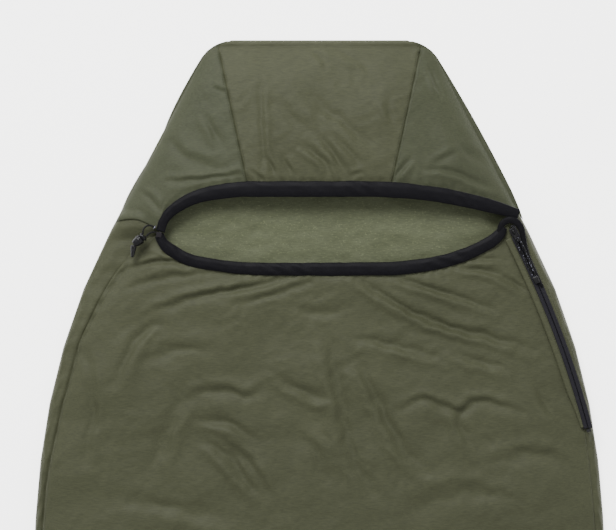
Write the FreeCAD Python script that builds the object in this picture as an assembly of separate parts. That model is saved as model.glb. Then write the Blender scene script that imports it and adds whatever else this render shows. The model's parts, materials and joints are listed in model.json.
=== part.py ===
import FreeCAD, Part
import math
import os

# Bivy sack lying flat on the ground, face up.  Millimetres.
# +Y runs to the head, +X to the wearer's-left side when seen from above, +Z up.
# Origin: middle of the footprint, on the ground.

# ---- outline of the sack -----------------------------------------------------
length = 2150.0             # head edge to foot edge
max_half_width = 404.0      # half width at the widest place
widest_from_head = 825.0
head_half_width = 152.0     # half width the slanted hood sides would have at the head edge
hood_slope = 0.53           # half width gained for each mm of hood length
hood_length = 269.0         # head edge to the level of the face opening's corners
foot_half_width = 255.0
foot_taper_power = 1.6
head_corner = 28.0          # rounding of the outline at the head
foot_corner = 90.0          # rounding of the outline at the foot

# ---- cloth and heights -------------------------------------------------------
cloth = 2.5                 # thickness of every cloth panel, its seams included
wall_run = 4.0              # thickness of a gusset, measured level
side_height = 30.0          # top of the front panel above the ground
hood_height = 46.0          # top of the hood at the face opening
hood_rise = 70.0            # how fast the hood climbs from the head edge
gusset_inset = 13.0         # slope of a gusset in plan, along the body
corner_inset = 48.0         # the same beside the face opening's left corner
gusset_blend = 110.0        # length over which one turns into the other
head_end_inset = 5.5        # the same at the head edge
seam_half_width = 145.0     # hood centre panel at the head edge
seam_slope = 0.235          # how fast the hood seams close towards the face
foot_panel_thickness = 4.0

# ---- face opening ------------------------------------------------------------
opening_centre = 24.5       # it sits off the middle, towards the zip
opening_half = 253.5
opening_power = 2.9         # squareness of its outline
hood_side_depth = 69.0      # corner level to the hood's edge
chin_side_depth = 63.0      # corner level to the front panel's edge
hood_band = 23.0            # width of the hood binding
chin_band = 18.0            # width of the chin binding
corner_band = 14.0          # width of both at the corners
band_thickness = 5.0
band_gap = 0.4              # panel edge to binding
hood_band_end = 19.0        # hood binding stops this far above the zip-side corner
left_band_end = 2.0         # both bindings stop this far from the left corner's level
drawcord = 2.5
channel_clearance = 0.6     # all round the drawcord inside the hood binding
opening_rise = 13.0         # how much higher the hood's edge is than its corners
band_steps = 26             # straight pieces round each binding

# ---- zip ---------------------------------------------------------------------
zip_top_from_head = 274.0
zip_drop = 274.0            # from its top to its bottom, along Y
zip_top_inset = 24.0        # in from the outline
zip_bottom_inset = 10.0
zip_radius = 1410.0         # the zip is one arc, seen from above
tape_half = 5.8             # half width of the zip
tape_thickness = 1.2
tape_below_top = 0.2        # tape surface under the front panel's surface
mesh_gap = 0.2              # each coil and tape stops this far from the centre line
coil_width = 3.0
coil_height = 2.2
slider_half_width = 5.0
slider_plate = 1.6
slider_gap = 0.4            # plates to tape and coil
slider_up = 10.0            # slider above the zip's top
slider_down = 4.0           # slider below it
front_end_gap = 18.0        # front tape stops this far above the zip's end
stop_length = 2.0
stop_clear = 1.0
stop_proud = 0.2            # bottom stop above the tape, so the pull passes over it
guard_length = 85.0
guard_width = 6.5
guard_gap = 0.5             # tape to guard strip
guard_thickness = 1.5
garage_length = 7.0
garage_half = 10.0
placket_width = 12.0
placket_thickness = 1.2
placket_gap = 0.2           # tape to placket
wedge_length = 3.0          # the slider's divider, between the tapes
wedge_near = 0.5            # its sides, from the zip's centre line
wedge_far = 2.4

# ---- chest flap: the front panel between the face opening, the zip and the fold
fold_left_x = -200.0        # the fold starts here, on the chin edge
fold_below_zip = 14.0       # and passes this far below the zip's end
fold_gap = 0.6
axis_above_panel = 2.4      # the fold turns about a line just above the cloth

# ---- zip pull ----------------------------------------------------------------
bar_radius = 0.8
bar_above_plate = 2.6
eye_radius = 1.9
eye_clearance = 0.2
eye_half_width = 1.5
bridge_post = 1.0           # wall of the slider's bridge
bridge_half_length = 1.0
bridge_above_bar = 1.2
tab_half_width = 3.0
tab_thickness = 1.0
tab_length = 15.0
tab_neck = 3.0              # bar to the wide part of the tab, with an overlap
neck_overlap = 0.4
post_radius = 1.2
post_from_tip = 2.1
post_above_cord = 0.6
pull_cord = 3.0
pull_clearance = 0.2        # pull cord to tab and post
pull_above_tape = 0.6
pull_cord_run = 59.0        # from its turn round the post to the end piece
pull_end_length = 10.0
pull_end_half_width = 4.2
pull_end_height = 4.0
pull_end_rounding = 0.8

# ---- drawcord lock -----------------------------------------------------------
lock_from_corner = (-20.5, -10.9)   # the lock's open end, from the opening's left corner
lock_angle = 218.3              # the way its tail points, degrees from +X
lock_above_panel = 8.2          # its axis above the front panel
lock_length = 13.0
lock_rim_radius = 7.2
lock_rim_length = 2.5
lock_tail_radius = 4.8
pocket_radius = 5.6
pocket_depth = 9.5
plunger_clearance = 0.3
plunger_head = 3.2
head_gap = 0.3                  # head to rim when pressed home
head_taper = 0.4
head_inset = 0.6                # head's radius under the rim's
plunger_stem = 5.0
plunger_travel = 2.0
strand_spread = 4.2             # between the two strands' centre lines
strand_clearance = 0.5
strand_bow = 0.05               # the strands lie a hair out of straight inside the lock
slot_overrun = 1.0
spring_outer = 5.2
spring_inner = 4.3
spring_length = 1.8
spring_seat = 0.05
eyelet_radius = 3.2
eyelet_thickness = 1.6
eyelet_clearance = 0.35
cord_end_angle = 256.0          # the way the cord end points
cord_end_from_rim = 15.5        # where the strands bend towards it
cord_end_lead = 6.0             # from the bend to the cord end
cord_end_length = 13.0
cord_end_shoulder = 4.0
strand_set_in = 0.2             # how much closer the strands are at the cord end
cord_end_radius = 3.7
cord_end_tip = 1.8
tab_size = 9.0
tab_cloth = 1.4
tab_gap = 0.2                   # tab to binding
tab_from_corner = 1.0

# ---- worked out --------------------------------------------------------------
V = FreeCAD.Vector
UP = V(0, 0, 1)
y_head = length / 2
y_foot = -length / 2
y_corner = y_head - hood_length
panel_bottom = side_height - cloth
tape_top = side_height - tape_below_top
tape_bottom = tape_top - tape_thickness
coil_bottom = tape_bottom - coil_height
parts = {}


def keep(name, shape):
    """Files one node, as solids only."""
    solids = shape.Solids
    parts[name] = solids[0] if len(solids) == 1 else Part.makeCompound(solids)


# ---- outline functions -------------------------------------------------------
def rounding(from_end, radius):
    """How far a rounded corner pulls the outline in, near an end."""
    if from_end >= radius:
        return 0.0
    share = (radius - from_end) / radius
    return radius * (1 - math.sqrt(1 - share * share))


def half_width(y):
    d = y_head - y
    at_corner = head_half_width + hood_slope * hood_length
    if d <= hood_length:
        width = head_half_width + hood_slope * d
    elif d <= widest_from_head:
        run = widest_from_head - hood_length
        grow = max_half_width - at_corner
        power = hood_slope * run / grow
        width = max_half_width - grow * ((widest_from_head - d) / run) ** power
    else:
        t = (d - widest_from_head) / (length - widest_from_head)
        width = max_half_width - (max_half_width - foot_half_width) * t ** foot_taper_power
    return width - rounding(d, head_corner) - rounding(y - y_foot, foot_corner)


def zip_arc():
    """Centre of the zip's arc, the polar angle of its top, and its length."""
    y_top = y_head - zip_top_from_head
    y_low = y_top - zip_drop
    top = V(half_width(y_top) - zip_top_inset, y_top, 0)
    low = V(half_width(y_low) - zip_bottom_inset, y_low, 0)
    chord = low - top
    middle = (top + low) * 0.5
    inward = V(chord.y, -chord.x, 0).normalize()
    centre = middle + inward * math.sqrt(zip_radius ** 2 - (chord.Length / 2) ** 2)
    start = math.atan2(top.y - centre.y, top.x - centre.x)
    arc = 2 * zip_radius * math.asin(chord.Length / 2 / zip_radius)
    return centre, start, arc


zip_centre, zip_start, zip_length = zip_arc()


def on_zip(u, n, z):
    """The point u down the zip from its top, n outboard of its centre line."""
    angle = zip_start - u / zip_radius
    r = zip_radius + n
    return V(zip_centre.x + r * math.cos(angle), zip_centre.y + r * math.sin(angle), z)


def down_zip(u):
    """Unit vector down the zip at u."""
    angle = zip_start - u / zip_radius
    return V(math.sin(angle), -math.cos(angle), 0)


def outboard(u):
    angle = zip_start - u / zip_radius
    return V(math.cos(angle), math.sin(angle), 0)


def zip_strip(u0, u1, n0, n1, z0, z1):
    """A strip that follows the zip's arc."""
    corners = [on_zip(u1, n0, z0), on_zip(u1, n1, z0), on_zip(u1, n1, z1), on_zip(u1, n0, z1)]
    face = Part.Face(Part.makePolygon(corners + corners[:1]))
    return face.revolve(V(zip_centre.x, zip_centre.y, 0), UP, math.degrees((u1 - u0) / zip_radius))


def left_edge(y):
    """Inner top edge of the left gusset, as a positive distance."""
    fade = math.exp(-(y_corner - y) / gusset_blend)
    return half_width(y) - gusset_inset - (corner_inset - gusset_inset) * fade - wall_run


def right_edge(y):
    """Inner top edge of the right gusset: beside the zip, then like the left one."""
    y_low = on_zip(zip_length, 0, 0).y
    rail = zip_radius + tape_half
    if y >= y_low:
        return zip_centre.x + math.sqrt(rail ** 2 - (y - zip_centre.y) ** 2)
    at_zip = half_width(y_low) - zip_centre.x - math.sqrt(rail ** 2 - (y_low - zip_centre.y) ** 2)
    fade = math.exp(-(y_low - y) / gusset_blend)
    plain = gusset_inset + wall_run
    return half_width(y) - plain - (at_zip - plain) * fade


def body_stations():
    """Levels along the body, closer together round the foot's corners."""
    steps = 22
    start = y_foot + foot_corner
    rows = [y_corner + (start - y_corner) * i / steps for i in range(steps + 1)]
    turn = 6
    rows += [start - foot_corner * math.sin(math.pi / 2 * i / turn) for i in range(1, turn + 1)]
    return rows


def hood_stations():
    turn = 4
    rows = [y_head - head_corner * (1 - math.cos(math.pi / 2 * i / turn)) for i in range(turn + 1)]
    steps = 5
    last = y_head - head_corner
    rows += [last + (y_corner - last) * i / steps for i in range(1, steps + 1)]
    return rows


def loft(sections):
    wires = [Part.makePolygon(s + s[:1]) for s in sections]
    solid = Part.makeLoft(wires, True, True)
    return solid if solid.Volume > 0 else solid.reversed()


def plate(outline, z0, z1):
    face = Part.Face(Part.makePolygon([V(x, y, z0) for x, y in outline + outline[:1]]))
    return face.extrude(V(0, 0, z1 - z0))


# ---- face opening outline ----------------------------------------------------
def superellipse(half, depth, t):
    """A point of the opening's outline; t is 0 at the zip corner, 180 at the left one."""
    c = math.cos(math.radians(t))
    s = math.sin(math.radians(t))
    x = opening_centre + math.copysign(half * abs(c) ** (2 / opening_power), c)
    y = y_corner + depth * abs(s) ** (2 / opening_power)
    return x, y


def opening_prism(grow):
    steps = 48
    ring = []
    for i in range(steps):
        t = 360.0 * i / steps
        depth = hood_side_depth + grow if t < 180 else -chin_side_depth - grow
        ring.append(superellipse(opening_half + grow, depth, t))
    return plate(ring, -10, 2 * hood_height)


def opening_level(x):
    """Height of the hood binding's middle."""
    share = min(1.0, abs(x - opening_centre) / opening_half)
    return side_height + opening_rise * (1 - share * share)


# ---- cloth panels ------------------------------------------------------------
def base_panel():
    rows = hood_stations() + body_stations()[1:]
    right = [(half_width(y), y) for y in rows]
    left = [(-x, y) for x, y in reversed(right)]
    keep("base_panel", plate(right + left, 0, cloth))


def gusset(side, edge):
    rows = body_stations()
    sections = []
    for y in rows:
        w = half_width(y)
        e = edge(y)
        sections.append([
            V(side * w, y, cloth),
            V(side * min(w, e + wall_run), y, side_height),
            V(side * e, y, side_height),
            V(side * (w - wall_run), y, cloth),
        ])
    return loft(sections)


def gussets():
    keep("side_gusset_left", gusset(-1, left_edge))
    zip_room = zip_strip(-slider_up, zip_length + 3 * stop_length, -tape_half, tape_half + mesh_gap,
                         coil_bottom - slider_gap - slider_plate - 1, side_height + 1)
    keep("side_gusset_right", gusset(1, right_edge).cut(zip_room))


def hood_heights(y):
    d = y_head - y
    edge = 2 * cloth
    climb = (1 - math.exp(-d / hood_rise)) / (1 - math.exp(-hood_length / hood_rise))
    return edge + (side_height - edge) * climb, edge + (hood_height - edge) * climb


def hood_plan(y, end_inset):
    """Half widths of the outline, the shoulder and the seam at one level."""
    d = y_head - y
    w = half_width(y)
    shoulder = w - head_end_inset - (end_inset - head_end_inset) * d / hood_length
    seam = min(seam_half_width - seam_slope * d, shoulder - head_end_inset)
    return w, shoulder, seam


def hood_side(side, end_inset):
    sections = []
    for y in hood_stations():
        w, shoulder, seam = hood_plan(y, end_inset)
        low, high = hood_heights(y)
        sections.append([
            V(side * w, y, cloth),
            V(side * shoulder, y, low),
            V(side * seam, y, high),
            V(side * seam, y, high - cloth),
            V(side * shoulder, y, low - cloth),
            V(side * (w - wall_run), y, cloth),
        ])
    return loft(sections)


def hood_centre(left_inset, right_inset):
    sections = []
    for y in hood_stations():
        left = hood_plan(y, left_inset)[2]
        right = hood_plan(y, right_inset)[2]
        high = hood_heights(y)[1]
        sections.append([V(-left, y, high), V(right, y, high), V(right, y, high - cloth),
                         V(-left, y, high - cloth)])
    return loft(sections)


def hood_panels():
    hole = opening_prism(band_gap)
    right_inset = half_width(y_corner) - right_edge(y_corner) - wall_run
    keep("hood_centre_panel", hood_centre(corner_inset, right_inset).cut(hole))
    keep("hood_side_panel_left", hood_side(-1, corner_inset).cut(hole))
    keep("hood_side_panel_right", hood_side(1, right_inset).cut(hole))


def fold_line():
    """The two ends of the chest flap's fold, in plan."""
    share = (fold_left_x - opening_centre) / opening_half
    drop = chin_side_depth * (1 - abs(share) ** opening_power) ** (1 / opening_power)
    left = V(fold_left_x, y_corner - drop, 0)
    right = on_zip(zip_length, tape_half, 0) + down_zip(zip_length) * fold_below_zip
    return left, right


def flap_prism(gap):
    """Everything above the fold, gap beyond it."""
    left, right = fold_line()
    along = (right - left).normalize()
    across = V(-along.y, along.x, 0)
    a = left - across * gap
    b = right - across * gap + along * max_half_width
    side = fold_left_x - gap
    a = a + along * ((side - a.x) / along.x)
    return plate([(side, a.y), (b.x, b.y), (b.x, y_head), (side, y_head)], -10, 2 * hood_height)


def zip_side_cut(n):
    """Everything inboard of a line n from the zip's centre line."""
    return Part.makeCylinder(zip_radius + n, 4 * hood_height, V(zip_centre.x, zip_centre.y, -20))


def front_panels():
    rows = body_stations()
    right = [(right_edge(y), y) for y in rows]
    left = [(-left_edge(y), y) for y in reversed(rows)]
    whole = plate(right + left, panel_bottom, side_height).cut(opening_prism(band_gap))
    keep("front_panel", whole.cut(flap_prism(fold_gap)))
    flap = whole.common(flap_prism(0)).common(zip_side_cut(-tape_half))
    keep("front_panel_flap", flap)


def foot_panel():
    w = half_width(y_foot)
    outline = [V(w - wall_run, y_foot, cloth), V(right_edge(y_foot), y_foot, panel_bottom),
               V(-left_edge(y_foot), y_foot, panel_bottom), V(wall_run - w, y_foot, cloth)]
    face = Part.Face(Part.makePolygon(outline + outline[:1]))
    keep("foot_panel", face.extrude(V(0, foot_panel_thickness, 0)))


# ---- bindings ----------------------------------------------------------------
def band(angles, depth, width, level):
    """A flat band round part of the opening, outer edge on the opening's outline."""
    sections = []
    inner_depth = math.copysign(abs(depth) - width, depth)
    for t in angles:
        outer = superellipse(opening_half, depth, t)
        inner = superellipse(opening_half - corner_band, inner_depth, t)
        low = level(outer[0]) - band_thickness / 2
        high = low + band_thickness
        sections.append([V(*outer, low), V(*outer, high), V(*inner, high), V(*inner, low)])
    return loft(sections)


def folded_band(angles):
    """The hood binding: a tape folded round the drawcord, open along its outer edge."""
    room = drawcord / 2 + channel_clearance
    share = (corner_band / 2 + room) / corner_band
    sections = []
    for t in angles:
        outer = superellipse(opening_half, hood_side_depth, t)
        inner = superellipse(opening_half - corner_band, hood_side_depth - hood_band, t)
        fold = [a + (b - a) * share for a, b in zip(outer, inner)]
        middle = opening_level(outer[0])
        low = middle - band_thickness / 2
        high = middle + band_thickness / 2
        sections.append([V(*outer, low), V(*outer, middle - room), V(*fold, middle - room),
                         V(*fold, middle + room), V(*outer, middle + room), V(*outer, high),
                         V(*inner, high), V(*inner, low)])
    return loft(sections)


def channel(angles, radius):
    """A tube along the middle of the hood binding."""
    sides = 10
    middles = []
    for t in angles:
        x, y = superellipse(opening_half - corner_band / 2, hood_side_depth - hood_band / 2, t)
        edge = superellipse(opening_half, hood_side_depth, t)
        middles.append(V(x, y, opening_level(edge[0])))
    sections = []
    for i, m in enumerate(middles):
        along = (middles[min(i + 1, len(middles) - 1)] - middles[max(i - 1, 0)]).normalize()
        flat = UP.cross(along).normalize()
        rise = along.cross(flat)
        ring = []
        for k in range(sides):
            a = 2 * math.pi * k / sides
            ring.append(m + flat * (radius * math.cos(a)) + rise * (radius * math.sin(a)))
        sections.append(ring)
    return loft(sections)


def angle_at(depth, up):
    """The opening angle, in degrees, at which its outline is a height up from the corner."""
    return math.degrees(math.asin((up / depth) ** (opening_power / 2)))


def bindings():
    start = angle_at(hood_side_depth, hood_band_end)
    end = 180 - angle_at(hood_side_depth, left_band_end)
    hood_angles = [start + (end - start) * i / band_steps for i in range(band_steps + 1)]
    keep("hood_binding", folded_band(hood_angles))
    keep("drawcord_run", channel(hood_angles, drawcord / 2))
    chin_end = 180 - angle_at(chin_side_depth, left_band_end)
    chin_angles = [chin_end * i / band_steps for i in range(band_steps + 1)]
    chin = band(chin_angles, -chin_side_depth, chin_band, lambda x: side_height - cloth / 2)
    keep("chin_binding_corner", chin.cut(flap_prism(fold_gap)))
    zip_room = zip_strip(-2 * corner_band - slider_up, guard_length, -tape_half, 2 * corner_band,
                         0, 2 * side_height)
    keep("chin_binding", chin.common(flap_prism(0)).cut(zip_room))


# ---- zip ---------------------------------------------------------------------
def zip_parts():
    front_end = zip_length - front_end_gap
    side_top = -slider_up - stop_clear - stop_length
    side_end = zip_length - stop_clear
    keep("zip_tape_front", zip_strip(0, front_end, -tape_half, -mesh_gap, tape_bottom, tape_top))
    keep("zip_tape_side", zip_strip(side_top, side_end, mesh_gap, tape_half, tape_bottom, tape_top))
    keep("zip_coil_front", zip_strip(0, front_end, -mesh_gap - coil_width, -mesh_gap,
                                     coil_bottom, tape_bottom))
    keep("zip_coil_side", zip_strip(side_top, side_end, mesh_gap, mesh_gap + coil_width,
                                    coil_bottom, tape_bottom))
    keep("zip_top_stop", zip_strip(side_top, side_top + stop_length, mesh_gap, mesh_gap + coil_width,
                                   tape_top, tape_top + coil_height))
    keep("zip_bottom_stop", zip_strip(side_end, side_end + 2 * stop_length, -coil_width, coil_width,
                                      coil_bottom, tape_top + stop_proud))
    keep("zip_garage", zip_strip(side_top - garage_length, side_top, -garage_half, garage_half,
                                 tape_bottom, side_height + guard_thickness))
    guard_near = tape_half + guard_gap
    keep("zip_guard_strip", zip_strip(slider_down, guard_length, guard_near, guard_near + guard_width,
                                      side_height, side_height + guard_thickness))
    placket = zip_strip(slider_down, front_end, -tape_half - placket_width, -tape_half - placket_gap,
                        side_height, side_height + placket_thickness)
    keep("zip_placket", placket.cut(opening_prism(band_gap)))


plate_low = tape_top + slider_gap
plate_high = plate_low + slider_plate
bar_level = plate_high + bar_above_plate
bar_at = -(slider_up - slider_down) / 2


def box_on_zip(u0, u1, n0, n1, z0, z1):
    """A straight box square to the zip at the slider's middle."""
    along = down_zip(bar_at)
    out = outboard(bar_at)
    corner = on_zip(bar_at, 0, z0) + along * (u0 - bar_at) + out * n0
    points = [corner, corner + along * (u1 - u0), corner + along * (u1 - u0) + out * (n1 - n0),
              corner + out * (n1 - n0)]
    return Part.Face(Part.makePolygon(points + points[:1])).extrude(V(0, 0, z1 - z0))


def rod_across(radius, half, level):
    out = outboard(bar_at)
    return Part.makeCylinder(radius, 2 * half, on_zip(bar_at, 0, level) - out * half, out)


def zip_slider():
    top = box_on_zip(-slider_up, slider_down, -slider_half_width, slider_half_width,
                     plate_low, plate_high)
    low_top = coil_bottom - slider_gap
    bottom = box_on_zip(-slider_up, slider_down, -slider_half_width, slider_half_width,
                        low_top - slider_plate, low_top)
    wedge = box_on_zip(-slider_up, -slider_up + wedge_length, -wedge_far, -wedge_near, low_top,
                       plate_low)
    body = top.fuse([bottom, wedge])
    inner = eye_half_width + eye_clearance
    for side in (-1, 1):
        n0 = min(side * inner, side * (inner + bridge_post))
        body = body.fuse(box_on_zip(bar_at - bridge_half_length, bar_at + bridge_half_length,
                                    n0, n0 + bridge_post, plate_high,
                                    bar_level + bridge_above_bar))
    body = body.fuse(rod_across(bar_radius, inner + bridge_post / 2, bar_level))
    keep("zip_slider_body", body.removeSplitter())


def zip_tab():
    eye = rod_across(eye_radius, eye_half_width, bar_level)
    z0 = bar_level - eye_radius
    neck = box_on_zip(bar_at, bar_at + tab_neck, -eye_half_width, eye_half_width,
                      z0, z0 + tab_thickness)
    leaf = box_on_zip(bar_at + tab_neck - neck_overlap, bar_at + tab_length,
                      -tab_half_width, tab_half_width, z0, z0 + tab_thickness)
    foot = on_zip(bar_at, 0, z0) + down_zip(bar_at) * (tab_length - post_from_tip)
    post = Part.makeCylinder(post_radius, tab_thickness + pull_cord + post_above_cord, foot)
    hole = rod_across(bar_radius + eye_clearance, 2 * eye_half_width, bar_level)
    keep("zip_slider_tab", eye.fuse([neck, leaf, post]).cut(hole).removeSplitter())


def pull_route():
    """The pull cord: up one side, round the tab's post and back."""
    post_u = bar_at + tab_length - post_from_tip
    turn_u = post_u - post_radius - pull_clearance - pull_cord / 2
    z_tab = bar_level - eye_radius + tab_thickness + pull_clearance + pull_cord / 2
    z_low = tape_top + pull_above_tape + pull_cord / 2
    one_side = [(pull_cord_run, 1.8, z_low), (43.0, 2.0, z_low + 0.1), (27.0, 2.6, z_low + 0.5),
                (12.0, 2.9, z_tab - 0.4), (0.0, 2.9, z_tab)]
    points = [on_zip(turn_u + s, n, z) for s, n, z in one_side]
    points += [on_zip(turn_u + s, 0.1 - n, z) for s, n, z in reversed(one_side)]
    return points, turn_u


def tube(route, diameter, name):
    """A tube of straight runs joined by tangent arcs."""
    edges = []
    last = route[0]
    radii = []
    for before, here, after in zip(route, route[1:], route[2:]):
        a = (here - before).normalize()
        b = (after - here).normalize()
        turn = a.getAngle(b)
        shorter = min((here - before).Length, (after - here).Length)
        reach = 0.45 * shorter
        radii.append(reach / math.tan(turn / 2))
        start = here - a * reach
        end = here + b * reach
        bulge = (b - a).normalize()
        centre = here + bulge * (radii[-1] / math.cos(turn / 2))
        middle = centre - bulge * radii[-1]
        edges.append(Part.LineSegment(last, start).toShape())
        edges.append(Part.Arc(start, middle, end).toShape())
        last = end
    edges.append(Part.LineSegment(last, route[-1]).toShape())
    path = Part.Wire(edges)
    first = (route[1] - route[0]).normalize()
    ring = Part.Wire(Part.makeCircle(diameter / 2, route[0], first))
    solid = path.makePipeShell([ring], True, False)
    solid = solid if solid.ShapeType == "Solid" else Part.Solid(Part.Shell(solid.Faces))
    ideal = math.pi * diameter ** 2 / 4 * path.Length
    print(name, "length", round(path.Length, 1), "smallest radius", round(min(radii), 1),
          "volume over ideal", round(solid.Volume / ideal, 3))
    keep(name, solid)


def zip_pull():
    route, turn_u = pull_route()
    tube(route, pull_cord, "zip_pull_cord")
    u0 = turn_u + pull_cord_run
    along = down_zip(u0)
    out = outboard(u0)
    z0 = tape_top + pull_above_tape
    corner = on_zip(u0, -pull_end_half_width, z0)
    points = [corner, corner + along * pull_end_length,
              corner + along * pull_end_length + out * (2 * pull_end_half_width),
              corner + out * (2 * pull_end_half_width)]
    block = Part.Face(Part.makePolygon(points + points[:1])).extrude(V(0, 0, pull_end_height))
    keep("zip_pull_end", block.makeFillet(pull_end_rounding, block.Edges))


# ---- drawcord and its lock ---------------------------------------------------
def level_way(angle):
    return V(math.cos(math.radians(angle)), math.sin(math.radians(angle)), 0)


def beside(way):
    return V(-way.y, way.x, 0)


left_corner = V(opening_centre - opening_half, y_corner, side_height)
tail_way = level_way(lock_angle)
lock_across = beside(tail_way)
rim_centre = left_corner + V(*lock_from_corner, lock_above_panel)


def on_lock(s, n):
    """The point s along the lock from its open end, n to the side."""
    return rim_centre + tail_way * s + lock_across * n


def turned(profile, start=rim_centre, way=tail_way):
    """A body of revolution about an axis, from (s, radius) pairs."""
    points = [start + way * s + beside(way) * r for s, r in profile]
    face = Part.Face(Part.makePolygon(points + points[:1]))
    return face.revolve(start, way, 360)


def strand_slot(s0, s1):
    """The slot that both strands pass through."""
    radius = drawcord / 2 + strand_clearance
    half = strand_spread / 2
    run = s1 - s0
    ends = [Part.makeCylinder(radius, run, on_lock(s0, n), tail_way) for n in (-half, half)]
    low = on_lock(s0, -half) - UP * radius
    corners = [low, low + lock_across * (2 * half), low + lock_across * (2 * half) + UP * (2 * radius),
               low + UP * (2 * radius)]
    middle = Part.Face(Part.makePolygon(corners + corners[:1])).extrude(tail_way * run)
    return ends[0].fuse([ends[1], middle])


def cord_lock():
    barrel = turned([(0, pocket_radius), (0, lock_rim_radius), (lock_rim_length, lock_rim_radius),
                     (lock_length, lock_tail_radius), (lock_length, 0), (pocket_depth, 0),
                     (pocket_depth, pocket_radius)])
    keep("cord_lock_barrel", barrel.cut(strand_slot(pocket_depth - slot_overrun,
                                                   lock_length + slot_overrun)))
    stem = pocket_radius - plunger_clearance
    head_at = -plunger_travel - head_gap
    head_end = head_at - plunger_head
    head_radius = lock_rim_radius - head_inset
    plunger = turned([(head_end, 0), (head_end, head_radius - head_taper), (head_at, head_radius),
                      (head_at, stem), (plunger_stem, stem), (plunger_stem, 0)])
    slot = strand_slot(head_end - slot_overrun, plunger_stem + slot_overrun)
    keep("cord_lock_plunger", plunger.cut(slot))
    spring_end = pocket_depth - spring_seat
    keep("cord_lock_spring", turned([(spring_end - spring_length, spring_inner),
                                     (spring_end - spring_length, spring_outer),
                                     (spring_end, spring_outer), (spring_end, spring_inner)]))


def drawcord_strands():
    half = strand_spread / 2
    end_way = level_way(cord_end_angle)
    bend = on_lock(cord_end_from_rim, 0)
    finish = bend + end_way * cord_end_lead
    upper = [left_corner + V(-0.6, 3.5, 4.8), left_corner + V(-6.2, 9.0, 5.4),
             left_corner + V(-15.6, 6.6, 6.6), on_lock(-10.5, -half),
             on_lock(4, -half) + UP * strand_bow, on_lock(cord_end_from_rim, -half),
             finish - beside(end_way) * (half - strand_set_in)]
    lower = [left_corner + V(-0.6, -2.0, 3.4), left_corner + V(-7.0, -1.5, 5.2),
             on_lock(-8, half), on_lock(4, half) + UP * strand_bow,
             on_lock(cord_end_from_rim, half), finish + beside(end_way) * (half - strand_set_in)]
    tube(upper, drawcord, "drawcord_strand_upper")
    tube(lower, drawcord, "drawcord_strand_lower")
    out = (upper[1] - upper[0]).normalize()
    hole = drawcord / 2 + eyelet_clearance
    keep("drawcord_eyelet", turned([(0, hole), (0, eyelet_radius), (eyelet_thickness, eyelet_radius),
                                    (eyelet_thickness, hole)], upper[0] + out, out))
    keep("drawcord_end", turned([(0, 0), (0, cord_end_radius), (cord_end_shoulder, cord_end_radius),
                                 (cord_end_length, cord_end_tip), (cord_end_length, 0)],
                                finish, end_way))


def join_tab():
    """The small tab that binds both edges together at the left corner."""
    corner = left_corner + V(tab_from_corner, -tab_size / 2, band_thickness / 2 + tab_gap)
    keep("binding_join_tab", Part.makeBox(tab_size, tab_size, tab_cloth, corner))


def build():
    base_panel()
    gussets()
    hood_panels()
    front_panels()
    foot_panel()
    bindings()
    zip_parts()
    zip_slider()
    zip_tab()
    zip_pull()
    cord_lock()
    drawcord_strands()
    join_tab()
    os.makedirs("parts", exist_ok=True)
    for name, shape in parts.items():
        shape.exportStep("parts/" + name + ".step")
    left, right = fold_line()
    along = (right - left).normalize()
    print("zip arc centre", zip_centre, "length", round(zip_length, 2))
    print("slider travel, degrees",
          math.degrees((zip_length - front_end_gap - slider_down - 2) / zip_radius))
    print("fold from", left, "to", right, "along", along, "level", side_height + axis_above_panel)
    print("zip bar", on_zip(bar_at, 0, bar_level), "axis", -outboard(bar_at))
    print("lock tail way", tail_way)


build()
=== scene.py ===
import json
import math
import bpy
import numpy as np
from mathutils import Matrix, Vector


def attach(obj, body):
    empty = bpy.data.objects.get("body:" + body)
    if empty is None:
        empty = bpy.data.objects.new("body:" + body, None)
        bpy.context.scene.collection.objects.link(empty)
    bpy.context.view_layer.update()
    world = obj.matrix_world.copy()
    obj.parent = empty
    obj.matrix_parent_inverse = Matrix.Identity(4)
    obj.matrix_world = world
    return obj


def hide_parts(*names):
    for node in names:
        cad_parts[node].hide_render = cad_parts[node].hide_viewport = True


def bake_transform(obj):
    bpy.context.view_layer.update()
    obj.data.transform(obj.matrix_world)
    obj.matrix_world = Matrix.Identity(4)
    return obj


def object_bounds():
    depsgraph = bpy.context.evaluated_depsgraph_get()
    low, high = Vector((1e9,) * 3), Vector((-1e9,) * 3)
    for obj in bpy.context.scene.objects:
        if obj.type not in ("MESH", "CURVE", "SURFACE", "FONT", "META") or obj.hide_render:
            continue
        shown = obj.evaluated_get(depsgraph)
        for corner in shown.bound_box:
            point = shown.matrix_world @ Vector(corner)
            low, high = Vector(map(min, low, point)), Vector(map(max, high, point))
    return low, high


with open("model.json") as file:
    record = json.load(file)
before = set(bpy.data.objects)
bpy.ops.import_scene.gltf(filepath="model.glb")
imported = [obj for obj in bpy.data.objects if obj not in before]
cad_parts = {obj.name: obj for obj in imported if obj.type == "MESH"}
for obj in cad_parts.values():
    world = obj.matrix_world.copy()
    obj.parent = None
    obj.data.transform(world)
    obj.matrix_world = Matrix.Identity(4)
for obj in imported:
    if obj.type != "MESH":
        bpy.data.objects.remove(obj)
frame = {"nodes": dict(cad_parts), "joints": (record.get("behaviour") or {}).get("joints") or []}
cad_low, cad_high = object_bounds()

MM = 0.001        # shapes are written in millimetres and made in metres
nodes = frame["nodes"]


# ---- camera: straight above the head end
def add_object(name, data):
    obj = bpy.data.objects.new(name, data)
    bpy.context.scene.collection.objects.link(obj)
    return obj


lens = bpy.data.cameras.new("camera")
lens.sensor_width = 36.0
lens.lens = 166.8
lens.clip_end = 50.0
camera = add_object("camera", lens)
camera.location = (-0.0161, 0.7579, 4.03)
bpy.context.scene.camera = camera

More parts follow.
